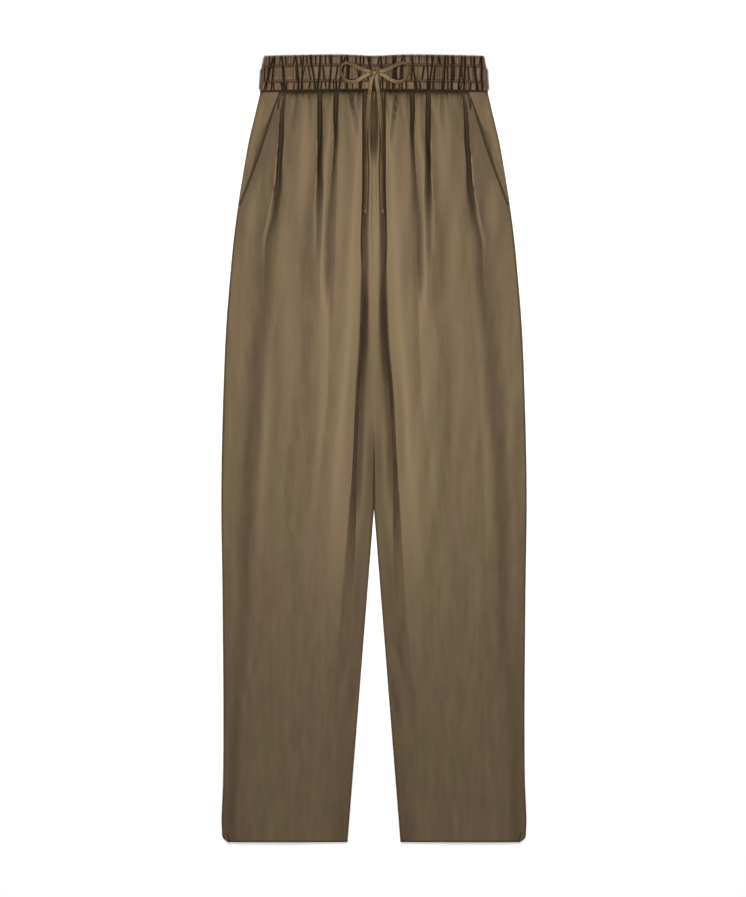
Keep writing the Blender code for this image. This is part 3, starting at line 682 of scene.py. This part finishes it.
def front_panel(side, material):
    """A front leg panel: skin() over a grid from the middle to the pocket mouth or side seam."""
    sign = SIDES[side]
    down = WAIST + SEAM_GAP + (LENGTH - WAIST - SEAM_GAP) * np.linspace(0, 1, 370) ** 1.25
    edge = np.where(down < POCKET_END, np.minimum(mouth(down), half_width(down)), half_width(down))
    outer_roll = MOUTH_ROLL + (OUTER_ROLL - MOUTH_ROLL) * ease((down - POCKET_END) / (20 * MM))
    inner_roll = np.full_like(down, PLAIN_ROLL)
    tracks = tracks_at(np.full_like(down, sign), down)[0][1:-1]
    x = spread_columns(inner_edge(down), edge, inner_roll, outer_roll, tracks, COLUMNS)
    grid_down = on_grid(down, x)
    z = skin(sign * x, grid_down)
    kept = kept_rows(len(down), 9)
    low_down = grid_down[kept]
    outer_edge = half_width(low_down)
    start = outer_edge - OUTER_ROLL
    low_x = x[kept]
    inside = start + (low_x - start) * (OUTER_ROLL - CLOTH_THICK) / OUTER_ROLL
    low_x = np.where(low_x > start, inside, low_x)
    low_z = np.minimum(skin(sign * low_x, low_down, CLOTH_THICK), z[kept] - CLOTH_THICK * 0.6)
    low_z = np.maximum(low_z, np.minimum(SEAM_HEIGHT, z[kept] - 0.05 * MM))
    hung = seam_wave(sign * x[:1]) * np.exp(-(grid_down - grid_down[0]) / (4 * MM))
    top = place(sign * x, grid_down - hung, z)
    under = place(sign * low_x, low_down - hung[kept], low_z)
    # The front carries painted shade in its folds, under the waistband, by its seams and at the hem.
    item = shell(f"cloth_front_{side}", top, under, kept, material, 24, painted_light_and_gloss_at(sign * x, grid_down))
    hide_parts(f"front_{side}")
    return item


def back_panel(side, material):
    """A back leg panel: flat where it lies, with shallow folds that lift off the floor, and a flat inside."""
    sign = SIDES[side]
    down = np.linspace(WAIST + SEAM_GAP + BACK_BAND_DROP, LENGTH, 170)
    inner = inner_edge(down)
    roll = np.full_like(down, PLAIN_ROLL)
    x = spread_columns(inner, half_width(down), roll, roll, [], [60])
    grid_down = on_grid(down, x)
    lift = 0.3 * main_folds(-sign * x, grid_down) + 0.3 * waist_gathers(-sign * x, grid_down)
    lift += 0.5 * MM * ease(crumple(-sign * x, grid_down) / (0.4 * MM))
    edge = half_width(grid_down)
    side_roll = 1 - fall((x - edge + PLAIN_ROLL) / PLAIN_ROLL)
    legs = ease((grid_down - LEGS_SHOW_APART) / (LEGS_PART - LEGS_SHOW_APART))
    inner_side = legs * (1 - fall((inner[:, None] + PLAIN_ROLL - x) / PLAIN_ROLL))
    z = np.minimum(lift, 1.0 * MM) + 0.6 * MM * np.maximum(side_roll, inner_side)
    kept = kept_rows(len(down), 4)
    top = np.full_like(x[kept], SEAM_HEIGHT)
    item = shell(
        f"cloth_back_{side}", place(sign * x, grid_down, z), place(sign * x[kept], grid_down[kept], top),
        kept, material,
    )
    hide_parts(f"back_{side}")
    return item


def facing(side, material):
    """The hip piece behind the pocket mouth: lower than the front's edge there, then level with the front."""
    sign = SIDES[side]
    down = np.linspace(WAIST + SEAM_GAP, FACING_END, 110)
    start_roll, outer_roll = np.full_like(down, 1 * MM), np.full_like(down, OUTER_ROLL)
    x = spread_columns(mouth(down) - FACING_UNDER, half_width(down), start_roll, outer_roll, [], [50])
    grid_down = on_grid(down, x)
    past = np.maximum(x - mouth(grid_down), 0) / FACING_DIP
    gape = 1.9 * MM + 1.4 * MM * np.exp(-(grid_down - WAIST) / (22 * MM))
    drop = gape + 2.4 * MM * past * np.exp(1 - past)
    level = skin(sign * x, grid_down)
    z = SEAM_HEIGHT + (level - SEAM_HEIGHT) * (1 - drop / np.maximum(crown(sign * x, grid_down), 4 * MM))
    kept = kept_rows(len(down), 5)
    under = np.maximum(z[kept] - CLOTH_THICK, SEAM_HEIGHT - 0.05 * MM)
    item = shell(
        f"cloth_pocket_facing_{side}", place(sign * x, grid_down, z),
        place(sign * x[kept], grid_down[kept], under), kept, material, 80,
        # Painted shade: the facing is darker and more matt next to the pocket mouth, fading outwards.
        painted_light_and_gloss_at(sign * x, grid_down) * (1 - 0.8 * np.exp(-past * 1.4)),
    )
    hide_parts(f"pocket_facing_{side}")
    return item


def band_gathers(x, down, seed):
    """Grooves across the waistband. Long ones cross all three puffs, and short ones end at the sewn lines.

    Each groove wanders a little as it goes down. Ten low waves across the band, out of step from one puff to
    the next, make its ridges uneven.
    """
    draw = np.random.default_rng(seed)
    total = np.zeros_like(x)
    wander_at = down / WAIST * 2 * math.pi
    puff = np.floor(np.clip((down - 15 * MM) / (15 * MM), -1, 1))
    for wave in draw.uniform(5, 15, 10) * MM:
        turn = draw.uniform(0, 6.28) + draw.uniform(-1.2, 1.2) * puff
        total += 0.09 * MM * (1 + np.sin(2 * math.pi * x / wave + turn + 12 * down))
    for number, zone, least, most, narrow, wide in BAND_GATHERS:
        starts = np.cumsum(draw.uniform(0.3, 1.7, number))
        starts = (starts / (starts[-1] + 0.5) * 2 - 1) * GATHERED_HALF
        for start in starts:
            depth = draw.uniform(least, most) * MM
            width = draw.uniform(narrow, wide) * MM
            sway = draw.uniform(-1.2, 1.2) * MM
            phase = draw.uniform(0, 6.28)
            lean = draw.normal(0, 0.11)
            off = x - start - sway * np.sin(wander_at * 0.6 + phase) - lean * (down - WAIST / 2)
            strength = 1.0
            if zone is not None:
                low, high = zone
                strength = ease((down - low) / (2 * MM)) * ease((high - down) / (2 * MM))
            bowl = 0.12 * depth * np.clip(1 - np.abs(off) / (4.5 * MM), 0, 1) ** 2
            total += strength * (depth * groove(off / width) + bowl)
    return total


def seam_wave(x):
    """How far the gathers pull the seam under the front waistband up, and both its edges with it."""
    return np.minimum(0.15 * band_gathers(x, np.full_like(x, 44 * MM), FRONT_SEED), 0.6 * MM)


def band_profile(down):
    """The casing's height across its depth: three puffs, a dip at each sewn line, and two rounded edges."""
    height = np.full_like(down, BAND_TOP)
    for line in SEWN_LINES:
        height = height - SEWN_DIP * np.exp(-(((down - line) / SEWN_WIDTH) ** 2))
    height = height - LOWEST_TILT * np.maximum(down - SEWN_LINES[1], 0)
    top = fall(1 - down / TOP_ROLL)
    bottom = fall(1 - (WAIST - down) / BOTTOM_ROLL)
    inside = BAND_INSIDE + 0.4 * MM
    return inside + (height - inside) * (0.12 + 0.88 * top) * (0.42 + 0.58 * bottom)


def band_height(x, down):
    """The waistband's front height: the profile less its gathers, with a quarter ellipse at both ends."""
    profile = band_profile(down)
    depth = band_gathers(x, down, FRONT_SEED) * ease((profile - BAND_INSIDE) / (4 * MM))
    height = profile - DEEPEST_GATHER * (1 - np.exp(-depth / (5 * MM)))
    edge = half_width(down)
    side = fall((np.abs(x) - edge + BAND_ROLL) / BAND_ROLL)
    return BAND_INSIDE + (np.maximum(height, BAND_INSIDE + 1.2 * MM) - BAND_INSIDE) * side


def band_grid(columns, rows):
    """x and down over the whole waistband half, closer together at its two ends and its long edges."""
    down = WAIST * (0.5 - 0.5 * np.cos(math.pi * np.linspace(0, 1, rows)))
    down = 0.55 * down + 0.45 * np.linspace(0, WAIST, rows)
    share = np.linspace(-1, 1, columns)
    share = np.sign(share) * (1 - (1 - np.abs(share)) ** 1.08)
    x = share[None, :] * half_width(down)[:, None]
    return x, on_grid(down, x)


def waistband_front(material):
    """The elastic casing's front half. Gathers pull its top edge down, and its lower rim is tucked under."""
    x, down = band_grid(760, 62)
    z = band_height(x, down)
    pulled = 0.35 * band_gathers(x, np.full_like(x, 5 * MM), FRONT_SEED) * ease(1 - down / (9 * MM))
    hung = seam_wave(x) * ease((down - 42 * MM) / (6 * MM))
    kept = kept_rows(len(x), 9)
    under = np.full_like(x[kept], BAND_INSIDE - 0.1 * MM)
    shifted = down + np.minimum(pulled, 1.4 * MM) - hung
    shifted[-1] -= RIM_TUCK
    # Painted shade: darker and more matt in the gathers' grooves and along the lower rim tucked under.
    painted_light_and_gloss = np.exp(-band_gathers(x, down, FRONT_SEED) / (6.5 * MM))
    painted_light_and_gloss *= LEAST_PAINTED_LIGHT + (1 - LEAST_PAINTED_LIGHT) * ease((WAIST - down) / (1.3 * MM))
    item = shell(
        "cloth_waistband_front", place(x, shifted, z),
        place(x[kept] * 0.997, np.clip(shifted[kept], 1 * MM, WAIST - 1 * MM), under),
        kept, material, 50, painted_light_and_gloss,
    )
    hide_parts("waistband_front")
    return item


def waistband_back(material):
    """The casing's back half: it lies on the crests of its gathers, with its sewn lines off the floor."""
    x, down = band_grid(360, 44)
    depth = np.minimum(0.7 * band_gathers(-x, down, BACK_SEED), 2.2 * MM)
    lines = sum(np.exp(-(((down - line) / SEWN_WIDTH) ** 2)) for line in SEWN_LINES)
    edges = (1 - fall(1 - down / (3 * MM))) + (1 - fall(1 - (WAIST - down) / (2 * MM)))
    ends = 1 - fall((np.abs(x) - half_width(down) + BAND_ROLL) / BAND_ROLL)
    z = np.minimum(depth + 0.9 * MM * lines + 1.8 * MM * edges + 2.4 * MM * ends, BAND_INSIDE - 0.8 * MM)
    kept = kept_rows(len(x), 8)
    top = np.full_like(x[kept], BAND_INSIDE - 0.3 * MM)
    down = down + BACK_BAND_DROP * ease((down - SEWN_LINES[1]) / (WAIST - SEWN_LINES[1]))
    under, upper = place(x, down, z), place(x[kept], down[kept], top)
    item = shell("cloth_waistband_back", under, upper, kept, material, 88, np.ones_like(x))
    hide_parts("waistband_back")
    return item


def surface_at(x, down):
    """The height of the garment's front at each point: the waistband above WAIST, and the cloth below it."""
    on_band = band_height(x, np.clip(down, 0, WAIST))
    on_cloth = skin(x, np.maximum(down, WAIST + 0.2 * MM))
    return np.where(down < WAIST, on_band, on_cloth)


def rest_height(x, down, reach):
    """The highest front surface within a tape's reach of each point."""
    steps = np.linspace(-reach, reach, 7)
    around = [surface_at(x + a, down + b) for a in steps for b in steps]
    return np.max(around, axis=0)


def lengths_along(line):
    """How far along a line of points each of them is."""
    steps = np.linalg.norm(np.diff(line, axis=0), axis=1)
    return np.concatenate([[0], np.cumsum(steps)])


def route_points(route, sign, count, tilt_at):
    """Points evenly spread along a smooth curve through the route, lying on the garment at their lift.

    tilt_at gives the tape's turn from each point's share of the way. A tape on its edge lies higher.
    """
    steps = np.arange(len(route))
    fine = np.linspace(0, len(route) - 1, 600)
    x, down, lift = (smooth_curve(steps, column, fine) * MM for column in zip(*route))
    x = x * sign
    along = lengths_along(np.column_stack([x, down]))
    even = np.linspace(0, along[-1], count)
    x, down, lift = (np.interp(even, along, values) for values in (x, down, lift))
    tilt = tilt_at(np.linspace(0, 1, count))
    half = np.hypot(TAPE_WIDTH / 2 * np.sin(tilt), TAPE_THICK / 2 * np.cos(tilt))
    z = rest_height(x, down, TAPE_WIDTH / 2) + TAPE_REST + half + lift
    for number in range(10):
        smoother = np.convolve(np.pad(z, 1, mode="edge"), (0.25, 0.5, 0.25), "valid")
        z = np.maximum(z, smoother) if number < 6 else smoother
    return place(x, down, z), tilt * sign


def sweep(path, tilt, width, thick, sides=16, closed=False):
    """Points of a flat oval carried along a path. Its flat side faces up, turned by tilt about the path.

    Around the section the angle a gives width/2 * |cos a|^0.7 across and thick/2 * |sin a|^0.8 up. It is a
    third thinner along the middle, because the tape's two folded edges are its thickest parts.
    """
    tangent = np.gradient(path, axis=0)
    if closed:
        tangent = np.roll(path, -1, axis=0) - np.roll(path, 1, axis=0)
    tangent /= np.linalg.norm(tangent, axis=1, keepdims=True)
    up = np.array([0, 0, 1.0]) - tangent * tangent[:, 2:3]
    up /= np.maximum(np.linalg.norm(up, axis=1, keepdims=True), 1e-6)
    across = np.cross(tangent, up)
    turn = np.asarray(tilt)[:, None]
    side = across * np.cos(turn) + up * np.sin(turn)
    lift = up * np.cos(turn) - across * np.sin(turn)
    angle = 2 * math.pi * np.arange(sides) / sides
    a = np.sign(np.cos(angle)) * np.abs(np.cos(angle)) ** 0.7 / 2
    b = np.sign(np.sin(angle)) * np.abs(np.sin(angle)) ** 0.8 / 2
    b *= 1 - 0.35 * np.exp(-((np.cos(angle) / 0.4) ** 2))
    width, thick = (np.broadcast_to(size, len(path))[:, None, None] for size in (width, thick))
    flat = side[:, None] * a[None, :, None] * width
    return path[:, None] + flat + lift[:, None] * b[None, :, None] * thick


def ring_faces(rings, sides, closed, first=0):
    """The faces between neighbouring rings of points, with both ends capped where the sweep isn't closed."""
    index = first + np.arange(rings * sides).reshape(rings, sides)
    following = np.roll(index, -1, axis=0) if closed else index[1:]
    here = index if closed else index[:-1]
    faces = np.stack([here, np.roll(here, -1, 1), np.roll(following, -1, 1), following], axis=-1)
    faces = faces.reshape(-1, 4).tolist()
    if not closed:
        faces += [index[0, ::-1].tolist(), index[-1].tolist()]
    return faces


def swept_object(name, sweeps, material):
    """One object from several sweeps, each with its points and whether it is closed."""
    points, faces, uvs = [], [], []
    first = 0
    for rings, closed in sweeps:
        count, sides = rings.shape[:2]
        faces += ring_faces(count, sides, closed, first)
        points.append(rings.reshape(-1, 3))
        along = lengths_along(rings.mean(axis=1))
        around = np.arange(sides) / sides * 0.012
        uvs.append(np.stack(np.meshgrid(around, along), axis=-1).reshape(-1, 2))
        first += count * sides
    return make_object(name, np.concatenate(points), faces, material, 60, np.concatenate(uvs))


def loop(side, material):
    """A loop of the bow. The tape turns on its edge round the loop's far end, as flat tape does."""
    sign = SIDES[side]
    shift = sign * KNOT_PLACE[0] / MM
    route = [Route(p.x + shift, p.down, p.lift) for p in LOOP]
    path, tilt = route_points(route, sign, 70, lambda s: 1.0 * np.sin(math.pi * s) ** 2)
    item = swept_object(f"tape_loop_{side}", [(sweep(path, tilt, TAPE_WIDTH, TAPE_THICK), False)], material)
    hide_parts(f"drawstring_loop_{side}")
    return item


def tail_turn(share):
    """How the tape twists down a tail: flat at the knot, nearly on its edge halfway, then half turned."""
    return np.interp(share, (0, 0.3, 0.5, 0.66, 1), (0.0, 0.45, 1.3, 0.75, 0.85))


def tail(side, material):
    """A free tail of the drawstring, twisting as it lies, with the knot that stops it slipping through."""
    sign = SIDES[side]
    path, tilt = route_points(TAIL, sign, 90, tail_turn)
    item = swept_object(f"tape_tail_{side}", [(sweep(path, tilt, TAPE_WIDTH, TAPE_THICK), False)], material)
    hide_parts(f"drawstring_tail_{side}")
    end = overhand(f"tape_end_knot_{side}", path[-1], material)
    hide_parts(f"tail_knot_{side}")
    return item, end


def overhand(name, at, material):
    """An overhand knot and its cut tip. The knot is tape swept along a trefoil:

    (sin t + 2 sin 2t, cos t - 2 cos 2t, -sin 3t).
    """
    t = np.linspace(0, 2 * math.pi, 60, endpoint=False)
    curve = np.stack([np.sin(t) + 2 * np.sin(2 * t), np.cos(t) - 2 * np.cos(2 * t), -np.sin(3 * t)], axis=1)
    centre = at + np.array([0, -2.0 * MM, 0.4 * MM])
    path = centre + curve * np.array([0.62, 0.72, 0.75]) * MM
    ring = sweep(path, np.zeros(60), 1.9 * MM, 1.3 * MM, 10, True)
    tip = centre + np.array([[0, -1.2, 0], [0.1, -2.4, -0.1], [0.3, -3.6, -0.3]]) * MM
    end = sweep(tip, np.zeros(3), np.array([2.4, 2.8, 2.2]) * MM, 1.0 * MM, 10)
    return swept_object(name, [(ring, True), (end, False)], material)


def bow_knot(material):
    """The bow's knot: one wrap of tape arched over the crossing strands, and the strands' roots under it."""
    x, down = KNOT_PLACE
    base = rest_height(np.array([x]), np.array([down]), 5 * MM)[0]
    centre = place(np.array(x), np.array(down), np.array(base + 0.6 * MM))
    arch = np.linspace(-0.15, math.pi + 0.15, 28)
    lean = 0.28
    up_down = np.cos(arch) * 4.4 * MM
    wrap = centre + np.stack([up_down * lean, up_down, np.sin(arch) * 4.0 * MM], axis=1)
    sweeps = [(sweep(wrap, np.zeros(28), np.linspace(5.6, 4.8, 28) * MM, 1.5 * MM), False)]
    share = np.linspace(0, 1, 20)
    for start, end, height in STRANDS:
        start, end = np.array(start) * MM, np.array(end) * MM
        flat = start + (end - start) * share[:, None]
        rise = (0.9 + height * np.sin(share * math.pi * 0.62)) * MM
        path = centre + np.column_stack([flat, rise])
        sweeps.append((sweep(path, np.zeros(20), (5.0 - 1.2 * share) * MM, 1.4 * MM), False))
    item = swept_object("tape_bow_knot", sweeps, material)
    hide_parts("drawstring_knot")
    return item


def stitches(name, line, pitch, length, thick, material):
    """A row of stitches along a line of points: each is a six-sided spindle, sunk a little at both ends."""
    along = lengths_along(line)
    middle = np.arange(pitch, along[-1] - pitch, pitch)
    spots = (middle, middle + length / 3)
    at, ahead = (np.stack([np.interp(spot, along, axis) for axis in line.T], axis=1) for spot in spots)
    tangent = ahead - at
    tangent /= np.linalg.norm(tangent, axis=1, keepdims=True)
    across = np.cross(tangent, (0, 0, 1.0))
    across /= np.linalg.norm(across, axis=1, keepdims=True)
    up = np.cross(across, tangent)
    stations = np.array([-0.5, -0.3, 0, 0.3, 0.5])
    girth = np.array([0.35, 0.85, 1.0, 0.85, 0.35])
    angle = 2 * math.pi * np.arange(6) / 6
    lift = girth * 0.5 - 0.5
    wide = girth[:, None] * np.cos(angle) * thick / 2
    high = (girth[:, None] * np.sin(angle) / 2 + lift[:, None]) * thick
    rings = (
        at[:, None, None]
        + tangent[:, None, None] * (stations * length)[None, :, None, None]
        + across[:, None, None] * wide[None, :, :, None]
        + up[:, None, None] * high[None, :, :, None]
    )
    faces = []
    for k in range(len(middle)):
        faces += ring_faces(5, 6, False, k * 30)
    return make_object(name, rings, faces, material, 60)


def sewn_rows(thread):
    """The visible sewing: two lines round the waistband and two rows beside each pocket mouth."""
    made = []
    for number, line in enumerate(SEWN_LINES):
        x = np.linspace(-1, 1, 700) * (half_width(line) - 5 * MM)
        down = np.full_like(x, line)
        z = band_height(x, down) + 0.15 * MM
        name = f"stitches_waistband_{number + 1}"
        made.append(stitches(name, place(x, down, z), 3.2 * MM, 2.7 * MM, 0.7 * MM, thread))
    for side, sign in SIDES.items():
        for number, offset in enumerate((2.2 * MM, 7.6 * MM)):
            down = np.linspace(WAIST + 3 * MM, POCKET_END - 4 * MM, 300)
            x = mouth(down) - offset
            z = skin(sign * x, down) + 0.05 * MM
            name = f"stitches_pocket_{side}_{number + 1}"
            made.append(stitches(name, place(sign * x, down, z), 3.0 * MM, 2.4 * MM, 0.6 * MM, thread))
    return made


def camera():
    """Straight above the garment, with the picture's frame, so a pixel covers PIXEL metres at the cloth."""
    data = bpy.data.cameras.new("camera")
    item = in_scene("camera", data)
    centre_x = (PICTURE_WIDTH / 2 - MIDDLE_PIXEL) * PIXEL
    centre_y = LENGTH / 2 - (PICTURE_HEIGHT / 2 - TOP_EDGE_PIXEL) * PIXEL
    item.location = (centre_x, centre_y, CAMERA_HEIGHT)
    data.lens = data.sensor_width * (CAMERA_HEIGHT - 8 * MM) / (PICTURE_HEIGHT * PIXEL)
    bpy.context.scene.camera = item


def area_light(name, location, target, size, power, colour):
    """A soft rectangular lamp that the camera doesn't see."""
    data = bpy.data.lights.new(name, "AREA")
    data.shape = "RECTANGLE"
    data.size, data.size_y = size
    data.energy = power
    data.color = linear(colour)[:3]
    item = in_scene(name, data)
    item.location = location
    item.rotation_euler = (Vector(target) - Vector(location)).to_track_quat("-Z", "Y").to_euler()
    item.visible_camera = False


def studio():
    """A long soft lamp above the garment's middle, a wide one over it all, a pale room and a paper floor."""
    area_light("lamp_strip", (0.0, 0.22, 0.8), (0.0, 0.22, 0.0), (0.12, 0.8), 4.7, "#fff8ee")
    area_light("lamp_ceiling", (0.0, 0.0, 2.6), (0.0, 0.0, 0.0), (4.0, 4.4), 75.0, "#fdfdff")
    world = bpy.data.worlds.new("room")
    world.use_nodes = True
    room = world.node_tree.nodes["Background"].inputs
    room["Color"].default_value = linear("#f4f3f1")
    room["Strength"].default_value = 0.4
    bpy.context.scene.world = world
    bpy.context.scene.view_settings.view_transform = "Standard"
    mesh = bpy.data.meshes.new("floor")
    half = 3.0
    corners = [(-half, -half, 0), (half, -half, 0), (half, half, 0), (-half, half, 0)]
    mesh.from_pydata(corners, [], [(0, 1, 2, 3)])
    mesh.materials.append(studio_paper("studio_paper_matt"))
    floor = in_scene("floor", mesh)


def build():
    """Makes the pieces, attaches them to the garment's body, and sets up the studio."""
    camera()
    cloth = viscose_satin("viscose_satin_piece_dyed", "#403027", "#3d3323", 0.37)
    band = viscose_satin("viscose_satin_gathered", "#4b362c", "#443527", 0.35)
    tape = viscose_satin("viscose_satin_bias_tape", "#54432f", "#4f412d", 0.4, "UV")
    thread = sewing_thread("polyester_thread_brown", "#4b3e2d")

    cords = []
    for side in SIDES:
        cords.append(loop(side, tape))
        cords += tail(side, tape)
    cords.append(bow_knot(tape))

    panels = []
    for side in SIDES:
        front = front_panel(side, cloth)
        back = back_panel(side, cloth)
        hip = facing(side, cloth)
        panels += [front, back, hip]

    bands = [waistband_front(band), waistband_back(band)]

    sewing = sewn_rows(thread)

    for item in (*cords, *panels, *bands, *sewing):
        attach(item, "root")
    studio()


build()
